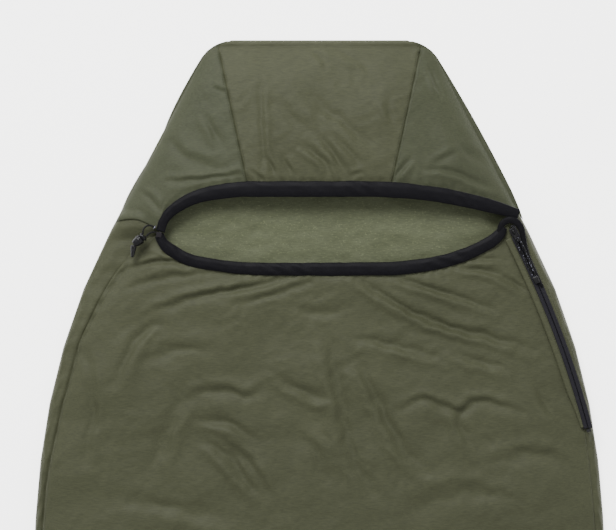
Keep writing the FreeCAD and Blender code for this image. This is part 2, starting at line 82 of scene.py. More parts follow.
# ---- the zip's arc, from the joint that the slider turns on
travel = next(j for j in frame["joints"] if j["name"] == "zip_slider_travel")
ZIP_X, ZIP_Y = (c / MM for c in travel["pos_m"][:2])
ZIP_R = 1410.0                                          # radius of the arc
ZIP_TOP = math.atan2(801.0 - ZIP_Y, 273.2 - ZIP_X)      # angle of the zip's upper end
ZIP_LENGTH = 293.6


def on_zip(u, n, z):
    """The point u down the zip from its top and n outboard of its centre line."""
    a = ZIP_TOP - u / ZIP_R
    return (ZIP_X + (ZIP_R + n) * math.cos(a), ZIP_Y + (ZIP_R + n) * math.sin(a), z)


def zip_x(y, n=0.0):
    """Where the line n outboard of the zip crosses a level."""
    return ZIP_X + np.sqrt((ZIP_R + n) ** 2 - (y - ZIP_Y) ** 2)


# ---- cords
def cord_curve(name, route, diameter):
    curve = bpy.data.curves.new(name, "CURVE")
    curve.dimensions = "3D"
    curve.bevel_depth = diameter / 2
    curve.bevel_resolution = 5
    curve.resolution_u = 24
    curve.use_fill_caps = True
    spline = curve.splines.new("NURBS")
    spline.points.add(len(route) - 1)
    for point, at in zip(spline.points, route):
        point.co = (at[0] * MM, at[1] * MM, at[2] * MM, 1.0)
    spline.order_u = 3
    spline.use_endpoint_u = True
    return add_object(name, curve)


pull_side = [(66.0, 1.8, 31.9), (50.0, 2.0, 32.0), (34.0, 2.6, 32.4), (19.0, 2.9, 34.8), (7.0, 2.9, 35.2)]
pull_points = [on_zip(*p) for p in pull_side] + [on_zip(u, 0.1 - n, z) for u, n, z in reversed(pull_side)]
upper_points = [(-229.6, 809.5, 34.8), (-235.0, 813.6, 35.6), (-242.6, 813.0, 36.8),
                (-247.0, 807.4, 38.2), (-246.8, 800.6, 38.4), (-253.941, 794.269, 38.25),
                (-259.6, 789.0, 38.2), (-260.6, 778.5, 38.2)]
lower_points = [(-229.6, 804.0, 33.4), (-236.0, 804.5, 35.2), (-241.920, 798.410, 38.2),
                (-251.338, 790.973, 38.25), (-258.6, 785.5, 38.2), (-258.9, 780.0, 38.2)]
pull_cord = cord_curve("pull_cord", pull_points, 0.003)
upper_strand = cord_curve("upper_strand", upper_points, 0.0025)
lower_strand = cord_curve("lower_strand", lower_points, 0.0025)


# ---- mesh helpers
def add_mesh(name, points, faces):
    """A smooth-shaded mesh from points in millimetres."""
    mesh = bpy.data.meshes.new(name)
    mesh.from_pydata([tuple(c * MM for c in p) for p in points], [], faces)
    mesh.validate()
    mesh.update()
    mesh.polygons.foreach_set("use_smooth", [True] * len(mesh.polygons))
    return add_object(name, mesh)


def closed_sheet(name, near, far):
    """A closed sheet between two grids of points, each given as its X, Y and Z."""
    rows, cols = near[0].shape
    base = rows * cols
    at = np.arange(base).reshape(rows, cols)
    quads = np.stack([at[:-1, :-1], at[1:, :-1], at[1:, 1:], at[:-1, 1:]], -1).reshape(-1, 4)
    faces = [*quads.tolist(), *(quads[:, ::-1] + base).tolist()]
    edge = [*at[0, :], *at[1:, -1], *at[-1, -2::-1], *at[-2:0:-1, 0]]
    for p, q in zip(edge, edge[1:] + edge[:1]):
        faces.append((int(p), int(q), int(q) + base, int(p) + base))
    points = np.concatenate([np.stack(grid, -1).reshape(-1, 3) for grid in (near, far)])
    return face_out(add_mesh(name, points, faces))


def shell(name, X, Y, top, low):
    """A closed sheet from its top heights to its low ones."""
    return closed_sheet(name, (X, Y, top), (X, Y, low))


def face_out(obj):
    """Turns a closed mesh's faces outwards, by the sign of its volume."""
    mesh = obj.data
    mesh.calc_loop_triangles()
    co = np.zeros(len(mesh.vertices) * 3)
    mesh.vertices.foreach_get("co", co)
    co = co.reshape(-1, 3)
    tri = np.zeros(len(mesh.loop_triangles) * 3, int)
    mesh.loop_triangles.foreach_get("vertices", tri)
    p = co[tri.reshape(-1, 3)]
    if np.einsum("ij,ij->i", p[:, 0], np.cross(p[:, 1], p[:, 2])).sum() < 0:
        mesh.flip_normals()
    return obj


def oval(wide, tall, sides):
    """A ring of (across, up) points, for sweep."""
    ring = [(wide * math.cos(2 * math.pi * k / sides), tall * math.sin(2 * math.pi * k / sides))
            for k in range(sides)]
    return lambda i: ring


def smooth_path(points, step):
    """Points evenly spaced on a smooth curve through the given ones."""
    p = np.array(points, float)
    p = np.vstack([2 * p[0] - p[1], p, 2 * p[-1] - p[-2]])
    fine = []
    for i in range(1, len(p) - 2):
        for t in np.linspace(0, 1, 24, endpoint=False):
            a, b, c, d = p[i - 1:i + 3]
            fine.append(0.5 * (2 * b + (c - a) * t + (2 * a - 5 * b + 4 * c - d) * t * t
                               + (3 * b - a - 3 * c + d) * t ** 3))
    fine.append(p[-2])
    fine = np.array(fine)
    run = np.concatenate([[0], np.cumsum(np.linalg.norm(np.diff(fine[:, :2], axis=0), axis=1))])
    count = max(2, int(round(run[-1] / step)) + 1)
    at = np.linspace(0, run[-1], count)
    return np.stack([np.interp(at, run, fine[:, k]) for k in range(p.shape[1])], 1)


def tube_faces(rings, sides, base=0):
    """Faces between rings of points that follow each other from point number base."""
    around = [(i * sides + k, i * sides + (k + 1) % sides) for i in range(rings - 1) for k in range(sides)]
    return [(a + base, b + base, b + base + sides, a + base + sides) for a, b in around]


def sweep(name, path, ring):
    """A body along a path, closed at both ends.  ring(i) gives (across, up) points in mm."""
    ways = np.gradient(path[:, :3], axis=0)
    points = []
    for i, (here, way) in enumerate(zip(path, ways)):
        way = Vector(way).normalized()
        across = Vector((0, 0, 1)).cross(way).normalized()
        up = way.cross(across)
        for n, z in ring(i):
            points.append(tuple(Vector(here[:3]) + across * n + up * z))
    sides = len(points) // len(path)
    faces = tube_faces(len(path), sides)
    faces.append(tuple(reversed(range(sides))))
    faces.append(tuple(range(len(points) - sides, len(points))))
    return face_out(add_mesh(name, points, faces))


class Ground:
    """Heights of a cloth's top, looked up from above."""

    def __init__(self, obj):
        self.obj = obj.evaluated_get(bpy.context.evaluated_depsgraph_get())

    def at(self, x, y):
        hit, place, _, _ = self.obj.ray_cast(Vector((x * MM, y * MM, 0.2)), Vector((0, 0, -1)))
        return place.z / MM if hit else None


# ---- seeded gradient noise
def noise(x, y, seed):
    rng = np.random.default_rng(seed)
    turn = rng.uniform(0, 2 * math.pi, (64, 64))
    xi, yi = np.floor(x).astype(int), np.floor(y).astype(int)
    fx, fy = x - xi, y - yi
    sx, sy = fx ** 3 * (fx * (6 * fx - 15) + 10), fy ** 3 * (fy * (6 * fy - 15) + 10)

    def corner(dx, dy):
        a = turn[(xi + dx) % 64, (yi + dy) % 64]
        return np.cos(a) * (fx - dx) + np.sin(a) * (fy - dy)

    low = corner(0, 0) * (1 - sx) + corner(1, 0) * sx
    high = corner(0, 1) * (1 - sx) + corner(1, 1) * sx
    return (low * (1 - sy) + high * sy) * 1.5


# ---- outline and levels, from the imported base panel
rim = np.array([v.co[:] for v in nodes["base_panel"].data.vertices]) / MM
rim = rim[(rim[:, 0] > 0) & (rim[:, 2] < 1)]
rim = rim[np.lexsort((rim[:, 0], rim[:, 1]))]
HEAD = float(cad_high.y) / MM
FOOT = float(cad_low.y) / MM
HEAD_SEAM = HEAD - 1.5      # top of the hood's cloth
HOOD_LENGTH = 269.0
HOOD_SIDE = 258.0           # length of the hood's outer edges
CORNER = HEAD - HOOD_LENGTH         # level of the face opening's corners
MIDDLE = 24.5               # the opening's middle
ZIP_LOW = on_zip(ZIP_LENGTH, 0, 0)[1]
CREASED = 385.0             # the photo ends near here, and the cloth's rows are wider apart below
CLOTH = 0.9                 # thickness a sheet is drawn with
SIDE_FOOT = 2.9             # height at which a gusset meets the base
BODY_LEVEL, ZIP_LEVEL, CHIN_LEVEL = 27.5, 29.3, 28.6    # the front's cloth, in the open and by its edges


def outline(y):
    return np.interp(y, rim[:, 1], rim[:, 0])


# the left seam's distance inside the outline, by level
LEFT_INSETS = ((-1075, 13), (300, 13), (446, 12.5), (513, 17), (583, 21), (656, 23), (705, 31),
               (741, 40), (768, 51), (781, 57), (790, 62), (798, 66), (806, 67))
# the bindings' centre lines, as (x, y, width), and the edges of the cloth that they cover
HOOD_BAND = [(-223, 805, 13), (-217, 822, 14), (-200, 839, 16), (-168, 854.5, 19), (-118, 863, 21.5),
             (-60, 864, 22), (0, 864, 22), (60, 864, 22), (110, 862.5, 21.5), (170, 855.5, 20.5),
             (215, 846.5, 20), (250, 837.5, 18), (279, 829, 14)]
CHIN_BAND = [(-225, 800, 13), (-219, 789, 14), (-208, 779, 17), (-182, 765, 17), (-140, 757, 16.5),
             (-100, 753, 17.5), (-40, 752, 18), (15, 752, 18.5), (70, 752.5, 18.5), (110, 753.5, 19),
             (165, 761, 18.5), (205, 773, 18), (238, 789, 17.5), (253, 802, 15), (258, 811, 10)]
HOOD_EDGE = [(-302, 815), (-282, 820), (-260, 822), (-240, 815), *[(x, y) for x, y, _ in HOOD_BAND],
             (289, 820), (302, 806)]
CHIN_EDGE = [(-300, 822), (-262, 822), (-242, 815), *[(x, y) for x, y, _ in CHIN_BAND], (275, 812)]


def edge_curve(points):
    """The level of an edge, as a function of x."""
    path = smooth_path([(x, y, 0) for x, y in points], 4.0)
    order = np.argsort(path[:, 0])
    return lambda x: np.interp(x, path[order, 0], path[order, 1])


hood_edge = edge_curve(HOOD_EDGE)
chin_edge = edge_curve(CHIN_EDGE)


def left_seam(y):
    """The front cloth's left edge, at a distance inside the outline."""
    at, inset = zip(*LEFT_INSETS)
    return -(outline(y) - np.interp(y, at, inset))


def right_seam(y):
    """The front cloth's right edge: along the zip, and below it along the outline."""
    plain = outline(y) - 14.0
    low = zip_x(ZIP_LOW, -5.0)
    gap = outline(ZIP_LOW) - 14.0 - low
    below = plain - gap * np.exp(-(ZIP_LOW - y) / 30.0)
    return np.where(y >= ZIP_LOW, zip_x(np.maximum(y, ZIP_LOW), -5.0), below)


# ---- creases: each is a curve over the cloth, its width, depth and lean
BODY_CREASES = [
    ([(-268, 752), (-247, 760), (-223, 763.5), (-190, 762)], 5, 4.0, 1),
    ([(-296, 726), (-281, 750), (-262, 767)], 3, -1.3, 1),
    ([(-248, 773), (-232, 771), (-216, 766)], 4.5, 1.6, 1),
    ([(-237, 692), (-181, 709), (-118, 723), (-50, 738)], 8, 3.0, 1),
    ([(-118, 702), (-55, 720), (-2, 738)], 7, 2.0, 1),
    ([(-272, 723), (-216, 741), (-139, 747)], 7, 1.8, 1),
    ([(-286, 590), (-265, 639), (-244, 667), (-218, 678)], 10, 2.6, -1),
    ([(50, 741), (99, 709), (148, 684), (183, 671), (253, 653), (300, 636)], 8, 3.6, -1),
    ([(100, 743), (148, 727), (197, 712), (245, 693)], 7, 2.8, -1),
    ([(190, 754), (239, 748), (284, 724)], 6, 2.4, -1),
    ([(205, 768), (262, 764)], 5, 2.0, -1),
    ([(262, 742), (282, 728), (300, 716)], 5, 1.8, 1),
    ([(43, 655), (99, 646), (172, 628)], 9, 2.4, -1),
    ([(190, 633), (225, 622), (258, 613)], 8, 2.2, -1),
    ([(108, 553), (148, 569), (197, 552), (225, 567), (286, 551)], 8, 2.6, 1),
    ([(10, 668), (29, 569), (43, 499), (76, 436)], 14, 3.0, -1),
    ([(52, 622), (86, 562), (108, 513), (150, 468)], 12, 3.2, -1),
    ([(-60, 600), (-13, 576), (20, 568)], 9, 2.4, -1),
    ([(-186, 568), (-146, 583), (-97, 573), (-72, 591)], 10, 2.2, 1),
    ([(-172, 540), (-132, 537), (-92, 515)], 9, 2.4, -1),
    ([(-165, 513), (-132, 492), (-104, 457), (-80, 432)], 10, 3.0, -1),
    ([(-139, 515), (-97, 478), (-70, 436)], 9, 2.2, 1),
    ([(-193, 575), (-214, 527), (-234, 470)], 14, 2.4, 1),
    ([(206, 566), (197, 534), (216, 502)], 10, 2.2, -1),
    ([(-330, 640), (-320, 600), (-318, 540), (-330, 480)], 10, 2.0, 1),
    ([(-250, 620), (-200, 640), (-150, 640)], 12, 1.6, 1),
    ([(-40, 700), (0, 690), (40, 700)], 10, 1.5, 1),
    ([(300, 600), (320, 560), (352, 530)], 10, 2.0, -1),
    ([(240, 480), (300, 492), (350, 480)], 13, 2.0, 1),
    ([(-40, 520), (-10, 500), (10, 450)], 14, 1.8, 1),
    ([(-300, 430), (-220, 420), (-120, 400)], 16, 2.0, -1),
    ([(140, 420), (200, 440), (280, 425)], 16, 2.0, 1),
]
HOOD_CREASES = [
    ([(-83, 1020), (-80, 950), (-80, 880)], 6, 1.8, 1),
    ([(-27, 928), (1, 909), (14, 886)], 7, 2.6, -1),
    ([(1, 935), (20, 912), (40, 884)], 7, 2.6, -1),
    ([(18, 942), (57, 898)], 7, 2.0, -1),
    ([(-51, 909), (-40, 883)], 6, 2.2, 1),
    ([(-77, 911), (-62, 886)], 6, 2.4, 1),
    ([(-94, 890), (-79, 877)], 4.5, 1.6, 1),
    ([(18, 900), (34, 879)], 5.5, 2.0, -1),
    ([(42, 882), (62, 887)], 4.5, 1.6, 1),
    ([(9, 1064), (54, 1046), (69, 1030)], 8, 1.8, -1),
    ([(-8, 1060), (10, 1040)], 7, 1.4, -1),
    ([(139, 1053), (146, 1062)], 4, 2.6, 1),
    ([(156, 1034), (173, 996)], 6, 2.2, -1),
    ([(-103, 998), (-112, 984)], 5, 1.2, 1),
    ([(-152, 1008), (-129, 998)], 6, 1.4, 1),
    ([(128, 906), (104, 878)], 5, 3.0, 1),
    ([(145, 893), (190, 887), (240, 866)], 6, 2.6, -1),
    ([(160, 898), (192, 917)], 7, 1.8, 1),
    ([(-218, 875), (-181, 877), (-106, 885)], 5, 2.4, 1),
    ([(-160, 970), (-137, 924)], 8, 1.8, -1),
    ([(95, 990), (103, 955)], 8, 1.8, -1),
    ([(-20, 1000), (30, 960), (80, 920)], 13, 2.2, -1),
    ([(-60, 985), (-10, 940)], 12, 1.6, 1),
    ([(180, 960), (205, 920), (238, 900)], 12, 1.8, -1),
    ([(-215, 935), (-180, 905), (-130, 892)], 11, 1.8, 1),
    ([(-250, 862), (-232, 846), (-222, 832)], 6, 1.8, 1),
]


def bell(distance, width):
    return np.exp(-(distance / width) ** 2)


def crease_field(X, Y, creases):
    field = np.zeros_like(X)
    for points, width, depth, lean in creases:
        path = smooth_path([(x, y, 0) for x, y in points], 9.0)[:, :2]
        near = ((X > path[:, 0].min() - 5 * width) & (X < path[:, 0].max() + 5 * width)
                & (Y > path[:, 1].min() - 5 * width) & (Y < path[:, 1].max() + 5 * width))
        if not near.any():
            continue
        x, y = X[near], Y[near]
        wander = 0.35 * width * noise(x / 22.0, y / 22.0, 5)
        best = np.full(x.shape, 1e9)
        side = np.zeros_like(x)
        share = np.zeros_like(x)
        for i, (a, b) in enumerate(zip(path, path[1:])):
            run = b - a
            long2 = float(run @ run)
            t = np.clip(((x - a[0]) * run[0] + (y - a[1]) * run[1]) / long2, 0, 1)
            dx, dy = x - a[0] - t * run[0], y - a[1] - t * run[1]
            d = np.hypot(dx, dy)
            closer = d < best
            best[closer] = d[closer]
            side[closer] = np.sign(run[0] * dy - run[1] * dx)[closer]
            share[closer] = ((i + t) / (len(path) - 1))[closer]
        s = (best * side * lean + wander) / width
        fade = np.sin(np.pi * np.clip(share * 0.94 + 0.03, 0, 1)) ** 0.7
        beyond = bell(np.maximum(best - 3 * width, 0), width)
        valley = -np.exp(-(s * 1.6) ** 2)
        ridge = 0.95 * bell(s - 1.15, 0.85) + 0.25 * bell(s + 1.6, 1.2)
        field[near] += depth * fade * beyond * (valley + ridge)
    return field


def crumple(X, Y):
    """Soft rolling of the cloth, and finer rumples over it."""
    bend = 12 * noise(X / 90, Y / 90, 11)
    broad = 2.6 * noise((X + bend) / 105, (Y - bend) / 80, 3) + 1.5 * noise(X / 48, (Y + bend) / 40, 4)
    lean = (X * 0.8 + Y * 0.6 + bend) / 34
    across = (-X * 0.6 + Y * 0.8) / 16
    fine = 1 - np.abs(noise(lean, across, 6)) * 2
    other = 1 - np.abs(noise((X * 0.7 - Y * 0.7) / 26, (X * 0.7 + Y * 0.7 + bend) / 15, 8)) * 2
    patch = 0.45 + 0.55 * np.clip(noise(X / 75, Y / 75, 9) * 1.4 + 0.4, 0, 1)
    return broad + patch * (0.55 * fine + 0.45 * other)


def smooth_step(v, low, high):
    t = np.clip((v - low) / (high - low), 0, 1)
    return t * t * (3 - 2 * t)


def pucker(distance, along, pitch, depth, width):
    """Cloth drawn in by a line of stitches: a narrow valley with ripples across it."""
    ripple = 1 + 0.5 * np.sin(along / pitch * 2 * np.pi + 2.5 * np.sin(along / pitch / 2.7))
    fan = 0.35 * np.sin(along / pitch * 2 * np.pi + 1.3) * np.exp(-distance / (3.2 * width))
    return -depth * bell(distance, width) * ripple + depth * fan


# ---- the sack's cloth
def front_cloth():
    """The whole front: the chest flap above the fold and the front panel below it."""
    fine = np.linspace(CORNER, CREASED, 136)
    coarse = np.linspace(CREASED, FOOT + 2.0, 112)[1:]
    level = np.concatenate([fine, coarse])[:, None]
    share = np.linspace(0, 1, 205)[None, :]
    left, right = left_seam(level), right_seam(level)
    X = left + (right - left) * share
    drop = CORNER - chin_edge(X)
    fade = np.clip(1 - (CORNER - level) / 250.0, 0, 1) ** 2
    Y = level - drop * fade
    body = BODY_LEVEL + crumple(X, Y) * 1.15 + crease_field(X, Y, BODY_CREASES) * 1.4
    from_left = X - left_seam(Y)
    from_right = right_seam(Y) - X
    roll = 1 - 0.35 * np.exp(-np.maximum(np.minimum(from_left, from_right), 0) / 26.0)
    Z = body * roll + 1.2
    Z += pucker(np.abs(from_left - 0.5), Y, 23.0, 1.9, 1.9)
    beside_zip = smooth_step(Y, ZIP_LOW - 30, ZIP_LOW)
    calm = bell(np.maximum(from_right, 0), 16.0) * beside_zip
    hem = 1.1 * bell(from_right - 4.5, 3.2) - 1.0 * bell(from_right - 9.5, 1.1)
    Z = Z * (1 - calm) + (ZIP_LEVEL + 0.35 * (Z - ZIP_LEVEL)) * calm
    Z += beside_zip * hem * np.exp(-(np.maximum(from_right, 0) / 20.0))
    from_chin = (CORNER - drop) - Y
    bound = smooth_step(X, -232, -222)
    tuck = bell(np.maximum(from_chin, 0), 13.0) * bound
    Z = Z * (1 - tuck) + (CHIN_LEVEL + 0.25 * (Z - CHIN_LEVEL)) * tuck
    Z += bound * pucker(np.abs(from_chin - 11), X, 14.0, 0.9, 4.0)
    Z -= 8.0 * smooth_step(-Y, -FOOT - 60, -FOOT)
    return shell("front_cloth", X, Y, Z, Z - CLOTH)


def side_cloth(name, side, edge, top, under, ground):
    """A gusset: from under the seam on top, over the side and down to the outline."""
    fine = np.linspace(top, CREASED, 136)
    coarse = np.linspace(CREASED, FOOT + 2.0, 105)[1:]
    y = np.concatenate([fine, coarse])
    seam = np.abs(edge(y))
    found = [ground.at(side * (w - 1.2), min(v, CORNER - 2)) for v, w in zip(y, seam)]
    level = np.array([28.0 if z is None else z for z in found])
    level = np.where(level > 36, 28.0, level) - 1.1
    level = np.convolve(np.pad(level, 2, "edge"), np.ones(5) / 5, "valid")[:, None]
    y = y[:, None]
    start = seam[:, None] - under
    turn = np.linspace(0, math.pi / 2, 17)[None, :]
    room = outline(y) - 0.5 - start
    puff = 1 + 0.05 * noise(y / 31.0, turn * 1.6, 21) + 0.03 * noise(y / 12.0, turn * 2.0, 22)
    puff = 1 + (puff - 1) * np.sin(turn)
    X = side * (start + room * np.sin(turn) ** 0.92)
    Z = SIDE_FOOT + (level - SIDE_FOOT) * np.cos(turn) ** 0.72 * puff
    Z = Z + 1.6 * noise(y / 19.0, turn * 2.2, 23) * np.sin(2 * turn)
    if side < 0:
        Z = np.maximum(Z - 3.0 * bell(np.abs(X) - seam[:, None], 3.0), SIDE_FOOT)
    Y = y + 0 * turn
    return shell(name, X, Y, Z, Z - CLOTH)


def hood_level(X, Y):
    """Height of the hood: it climbs from the head edge and is round from side to side."""
    d = HEAD - Y
    climb = (1 - np.exp(-d / 70.0)) / (1 - math.exp(-HOOD_LENGTH / 70.0))
    share = np.clip(np.abs(X) / outline(Y), 0, 1)
    return 3.0 + 40.0 * climb * (1 - share ** 3.2) ** 0.55


def hood_seam(share):
    return np.minimum(145.0 - 46.0 * share, outline(HEAD_SEAM - 200.0 * share) - 5.0)


def under_lap(X, Y):
    """Height of the body's cloth where the hood laps over it, left of the opening."""
    out = np.full(X.shape, 3.0)
    for at in zip(*np.nonzero((X < -220) & (Y < CORNER + 36))):
        x, y = float(X[at]), min(float(Y[at]), CORNER + 13)
        found = [z for z in (front_ground.at(x, y), left_side_ground.at(x, y)) if z is not None]
        out[at] = max(found) if found else 3.0
    return out


def hood_cloth(name, left, right, cols):
    """One hood panel, between two edges given as functions of the share from head to opening."""
    share = np.linspace(0, 1, 96)[:, None]
    across = np.linspace(0, 1, cols)[None, :]
    a, b = left(share), right(share)
    X = a + (b - a) * across
    opening = hood_edge(X)
    Y = HEAD_SEAM - (HEAD_SEAM - opening) * share
    inside = smooth_step(np.minimum(outline(Y) - np.abs(X), HEAD - Y), 0, 22)
    Z = hood_level(X, Y) + inside * (0.8 * crumple(X + 400, Y) + 1.1 * crease_field(X, Y, HOOD_CREASES))
    for edge in (a, b):
        if np.abs(edge).max() < 150:
            Z = Z + pucker(np.abs(X - edge), Y, 27.0, 1.25, 1.7) * smooth_step(HEAD - Y, 4, 18)
    to_opening = Y - opening
    Z = Z + pucker(np.abs(to_opening - 12), X, 15.0, 1.2, 4.5) * inside
    Z = Z - 2.8 * bell(to_opening, 9.0) * inside
    Z = Z + 0.4 * np.sin(X / 7.0 + 2 * np.sin(X / 31.0)) * np.exp(-(HEAD - Y) / 9.0)
    hem = 1.2 * bell(HEAD - Y - 4.5, 2.6) - 1.6 * bell(HEAD - Y - 9.5, 1.8)
    Z = np.maximum(Z + hem, 2.8)
    lap = smooth_step(-X, 226, 240) * smooth_step(opening + 16 - Y, 0, 14)
    Z = Z * (1 - lap) + lap * np.maximum(under_lap(X, Y) + 1.3, 2.8)
    return shell(name, X, Y, Z, Z - CLOTH)


def base_cloth():
    """The back panel: flat below, and a low mound above that is seen through the face opening."""
    level = np.concatenate([np.linspace(HEAD, 905, 18), np.linspace(905, 720, 80)[1:],
                            np.linspace(720, FOOT, 92)[1:]])[:, None]
    share = np.linspace(-1, 1, 141)[None, :]
    X = outline(level) * share
    Y = level + 0 * share
    from_edge = np.minimum(np.minimum(outline(Y) - np.abs(X), HEAD - Y), Y - FOOT + 4)
    inner = smooth_step(from_edge, 2, 60)
    Z = 2.2 + inner * (9.0 + 0.9 * crumple(X + 900, Y + 50) + 1.2 * noise(X / 30, Y / 18, 31))
    return shell("base_cloth", X, Y, np.clip(Z, 1.4, 17), 0.4 + 0 * Z)


def foot_cloth():
    """The foot end: a low upright wall between the base and the front."""
    x = np.linspace(-163, 163, 60)[None, :]
    turn = np.linspace(0, 1, 12)[:, None]
    Y = FOOT + 3.4 - 2.6 * np.sin(turn * math.pi) ** 0.7 + 0 * x
    Z = 2.4 + 17.0 * turn + 0.6 * np.sin(x / 9.0) * np.sin(turn * math.pi)
    X = x + 0 * turn
    return closed_sheet("foot_cloth", (X, Y, Z), (X, Y + CLOTH, Z))


front = front_cloth()
front_ground = Ground(front)
left_side = side_cloth("left_gusset_cloth", -1, left_seam, CORNER + 18, 3.0, front_ground)
left_side_ground = Ground(left_side)
right_side = side_cloth("right_gusset_cloth", 1,
                        lambda y: right_seam(y) + 10.0 * smooth_step(y, ZIP_LOW - 2, ZIP_LOW + 8),
                        CORNER + 27, 3.0, front_ground)
hood_left = hood_cloth(
    "hood_left_cloth",
    lambda s: -outline(HEAD_SEAM - HOOD_SIDE * s) + 0.8 + 2.6 * smooth_step(s, 0.86, 1),
    lambda s: -hood_seam(s), 60)
hood_middle = hood_cloth("hood_middle_cloth", lambda s: -hood_seam(s), hood_seam, 90)
hood_right = hood_cloth(
    "hood_right_cloth", hood_seam,
    lambda s: outline(HEAD_SEAM - HOOD_SIDE * s) - 0.8 - 1.5 * smooth_step(s, 0.86, 1), 60)
base = base_cloth()
foot = foot_cloth()


# ---- bindings
def opening_level(x):
    return 30.0 + 13.0 * (1 - ((x - MIDDLE) / 253.5) ** 2)


def binding(name, points, height, level, seed, twists):
    """A soft folded tape: points are (x, y, width), and twists are places where it creases."""
    path = smooth_path([(x, y, level(x), w) for x, y, w in points], 2.2)
    sides = 22

    def ring(i):
        x, width = path[i, 0], path[i, 3]
        twisted = sum(math.exp(-((x - at) / reach) ** 2) for at, reach in twists)
        out = []
        for k in range(sides):
            a = 2 * math.pi * k / sides
            c, s = math.cos(a), math.sin(a)
            n = math.copysign(abs(c) ** 0.75, c)
            z = math.copysign(abs(s) ** 0.85, s)
            slow = float(noise(np.array(i / 14.0 + 0.9 * n), np.array(n * 0.9), seed))
            quick = float(noise(np.array(i / 4.6 + 1.3 * n), np.array(n * 1.4), seed + 1))
            lift = 1 + 0.16 * slow + 0.10 * quick + twisted * 0.22 * math.sin(i / 1.9 + 3.2 * n)
            seam = (1 - 0.30 * math.exp(-((n - 0.78) / 0.10) ** 2)
                    - 0.22 * math.exp(-((n + 0.80) / 0.10) ** 2))
            wide = width / 2 * (1 + 0.05 * slow + 0.02 * quick)
            tall = height / 2 * (lift * seam if s > 0 else 0.8)
            out.append((n * wide, z * tall))
        return out

    return sweep(name, path, ring)


hood_band = binding("hood_edge_binding", HOOD_BAND, 6.8, opening_level, 41, [(200, 26), (60, 30)])
chin_band = binding("chin_edge_binding", CHIN_BAND, 6.6, lambda x: 29.2 + 0 * x, 51,
                    [(-45, 45), (180, 30), (-200, 14)])
# binding folded over the zip's top and down its outer edge, as (x, y, z, width)
LOOP = [(252.5, 803, 30.5, 8.5), (255.5, 814.5, 31.8, 9), (264, 820.8, 33.0, 9.6), (273.6, 819.6, 33.0, 9.8),
        (281.4, 811.5, 32.4, 9.2), (285.0, 799, 31.6, 8.2), (288.2, 783, 31.2, 7.2), (294.6, 762, 31.2, 6.6),
        (304.6, 742, 31.1, 5.8), (312.0, 727.5, 30.8, 4.6)]


loop_path = smooth_path(LOOP, 1.6)


def loop_ring(i):
    out = []
    for k in range(14):
        a = 2 * math.pi * k / 14
        bump = 1 + 0.10 * float(noise(np.array(i / 5.0), np.array(math.cos(a)), 61))
        out.append((math.cos(a) * loop_path[i, 3] / 2, math.sin(a) * 1.5 * bump))
    return out


garage_loop = sweep("zip_garage_loop", loop_path, loop_ring)
# the drawcord where it runs inside the hood binding
inside_path = smooth_path([(x, y, opening_level(x) - 0.4) for x, y, _ in HOOD_BAND[:-1]], 4.0)
hood_cord = sweep("hood_drawcord", inside_path, oval(1.25, 1.25, 10))


# ---- zip
COIL_PITCH = 1.5


def tape(name, u0, u1, n0, n1, level, thick, edge_drop, ripple=0.0, step=1.6, cols=9, taper=0.0):
    """A strip along the zip, between two distances from its centre line."""
    u = np.arange(u0, u1 + step / 2, step)[:, None]
    across = np.linspace(0, 1, cols)[None, :]
    n = n1 + (n0 - n1) * (1 - across) * (1 - taper * smooth_step(u, u1 - 70, u1))
    a = ZIP_TOP - u / ZIP_R
    X = ZIP_X + (ZIP_R + n) * np.cos(a)
    Y = ZIP_Y + (ZIP_R + n) * np.sin(a)
    round_edge = 1 - np.abs(2 * across - 1) ** 6
    Z = level - edge_drop * (1 - round_edge) + ripple * np.sin(u * 2 * np.pi / COIL_PITCH)
    Z = Z + 0.18 * noise(u / 11.0, n / 9.0, 71)
    return shell(name, X, Y, Z, level - thick + 0 * Z)


front_tape = tape("front_zip_tape", 3, 291.5, -6.2, -0.3, 30.35, 1.0, 0.5)
side_tape = tape("side_zip_tape", -12, 292.6, 0.3, 6.2, 30.35, 1.0, 0.5)
front_coil = tape("front_zip_coil", 3, 275.6, -3.2, -0.2, 28.7, 2.0, 0.5, 0.35, 0.375, 5)
side_coil = tape("side_zip_coil", -12, 292.6, 0.2, 3.2, 28.7, 2.0, 0.5, 0.35, 0.375, 5)
placket = tape("zip_edge_facing", 2, 289, -15.5, -5.8, 31.2, 1.9, 1.5, taper=0.55)


# ---- small hard parts
def slab(name, outline_points, z0, z1, bevel):
    """A flat part with rounded edges, from its outline seen from above."""
    n = len(outline_points)
    points = [(x, y, z0) for x, y in outline_points] + [(x, y, z1) for x, y in outline_points]
    faces = [tuple(reversed(range(n))), tuple(range(n, 2 * n))]
    faces += [(i, (i + 1) % n, (i + 1) % n + n, i + n) for i in range(n)]
    obj = face_out(add_mesh(name, points, faces))
    mod = obj.modifiers.new("edge", "BEVEL")
    mod.width = bevel * MM
    mod.segments = 3
    mod.limit_method = "ANGLE"
    mod.angle_limit = math.radians(40)
    bake(obj)
    return obj


def bake(obj):
    """Applies an object's modifiers."""
    baked = obj.evaluated_get(bpy.context.evaluated_depsgraph_get())
    mesh = bpy.data.meshes.new_from_object(baked)
    obj.modifiers.clear()
    obj.data = mesh
    mesh.polygons.foreach_set("use_smooth", [True] * len(mesh.polygons))


def join(name, pieces):
    """One object from several."""
    bpy.ops.object.select_all(action="DESELECT")
    for piece in pieces:
        piece.select_set(True)
    bpy.context.view_layer.objects.active = pieces[0]
    bpy.ops.object.join()
    pieces[0].name = name
    return pieces[0]


